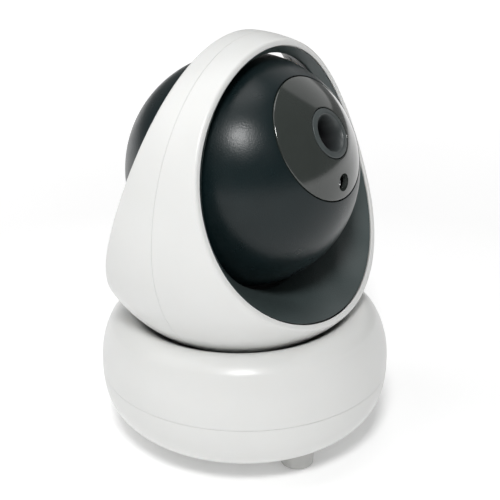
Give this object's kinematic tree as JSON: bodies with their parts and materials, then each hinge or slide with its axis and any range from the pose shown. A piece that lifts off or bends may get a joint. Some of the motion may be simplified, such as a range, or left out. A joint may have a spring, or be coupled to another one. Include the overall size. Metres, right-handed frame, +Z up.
{
  "type": "baby monitor camera",
  "caption": "Pan-and-tilt baby monitor camera: black ball head with a lens, held in a white egg-shaped yoke with a dark dished mouth, turning on a round white base with rubber feet.",
  "frame": {"origin": "on the floor at the centre of the round base", "axes": "+Z up, -Y towards the side that the lens faces, +X to the right-hand side seen from behind"},
  "size_m": [0.0921, 0.088, 0.1248],
  "materials": {
    "shell_white": "satin",
    "foot_rubber": "matt",
    "screw_steel": "satin",
    "circuit_board": "solder resist",
    "chip_black": "matt",
    "socket_steel": "plated",
    "inner_grey": "satin",
    "speaker_black": "paper cone",
    "brass_contact": "plated",
    "motor_steel": "zinc plated",
    "pinion_brass": "machined",
    "insert_brass": "machined",
    "bearing_plastic": "natural",
    "gear_plastic": "natural",
    "liner_grey": "satin",
    "pin_steel": "ground",
    "ball_black": "satin",
    "plate_gloss": "polished",
    "bezel_gloss": "polished",
    "lens_barrel_black": "black anodised",
    "lens_glass": "coated",
    "led_glass": "clear",
    "bracket_steel": "zinc plated"
  },
  "bodies": {
    "base": {"base_shell": "shell_white", "base_bottom_cover": "shell_white", "foot_1": "foot_rubber", "foot_2": "foot_rubber", "foot_3": "foot_rubber", "base_screws": "screw_steel", "main_board": "circuit_board", "main_board_chips": "chip_black", "board_screws": "screw_steel", "power_socket": "socket_steel", "reset_switch": "chip_black", "speaker": "speaker_black", "wifi_antenna": "brass_contact", "pan_motor": "motor_steel", "pan_motor_screws": "screw_steel", "pan_bush": "bearing_plastic", "tripod_insert": "insert_brass"},
    "yoke": {"yoke_front_shell": "shell_white", "yoke_rear_shell": "shell_white", "yoke_front_liner": "liner_grey", "yoke_rear_liner": "liner_grey", "yoke_screws": "screw_steel", "pan_spindle": "inner_grey", "spindle_screws": "screw_steel", "pan_thrust_washer": "bearing_plastic", "pan_gear": "gear_plastic", "pan_retaining_ring": "screw_steel", "tilt_trunnion_right": "pin_steel", "tilt_trunnion_left": "pin_steel", "tilt_gear": "gear_plastic"},
    "ball": {"ball_front_shell": "ball_black", "ball_rear_shell": "ball_black", "ball_screws": "screw_steel", "tilt_bush_right": "bearing_plastic", "tilt_bush_left": "bearing_plastic", "face_plate": "plate_gloss", "lens_bezel": "bezel_gloss", "lens_barrel": "lens_barrel_black", "front_lens": "lens_glass", "rear_lens": "lens_glass", "lens_holder": "chip_black", "sensor_board": "circuit_board", "image_sensor": "chip_black", "ir_board": "circuit_board", "ir_leds": "led_glass", "light_sensor": "led_glass", "card_socket": "socket_steel", "card_board": "circuit_board", "tilt_motor": "motor_steel", "tilt_motor_bracket": "bracket_steel"},
    "pan_pinion": {"pan_pinion": "pinion_brass"},
    "tilt_pinion": {"tilt_pinion": "pinion_brass"},
    "reset_button": {"reset_button": "inner_grey"}
  },
  "joints": [
    {"name": "pan", "type": "hinge", "parent": "base", "child": "yoke", "pos_m": [0, 0.00144, 0.031], "axis": [0, 0, 1], "range_deg": [-199.4, 155.6]},
    {"name": "tilt", "type": "hinge", "parent": "yoke", "child": "ball", "pos_m": [0, 0.00062, 0.08435], "axis": [-1, 0, 0], "range_deg": [-54, 56]},
    {"name": "pan_motor_shaft", "type": "hinge", "parent": "base", "child": "pan_pinion", "pos_m": [-0.0193, -0.00131, 0.0209], "axis": [0, 0, 1], "range_deg": [-712, 912]},
    {"name": "tilt_motor_shaft", "type": "hinge", "parent": "ball", "child": "tilt_pinion", "pos_m": [0.0235, 0.01113, 0.07855], "axis": [-1, 0, 0], "range_deg": [-163, 169]},
    {"name": "reset_press", "type": "slide", "parent": "base", "child": "reset_button", "axis": [0, 0, 1], "range_m": [0, 0.0005], "stiffness_N_per_m": 300}
  ],
  "couplings": [
    {"joint": "pan_motor_shaft", "follows": "pan", "ratio": -4.5714},
    {"joint": "tilt_motor_shaft", "follows": "tilt", "ratio": 3}
  ]
}
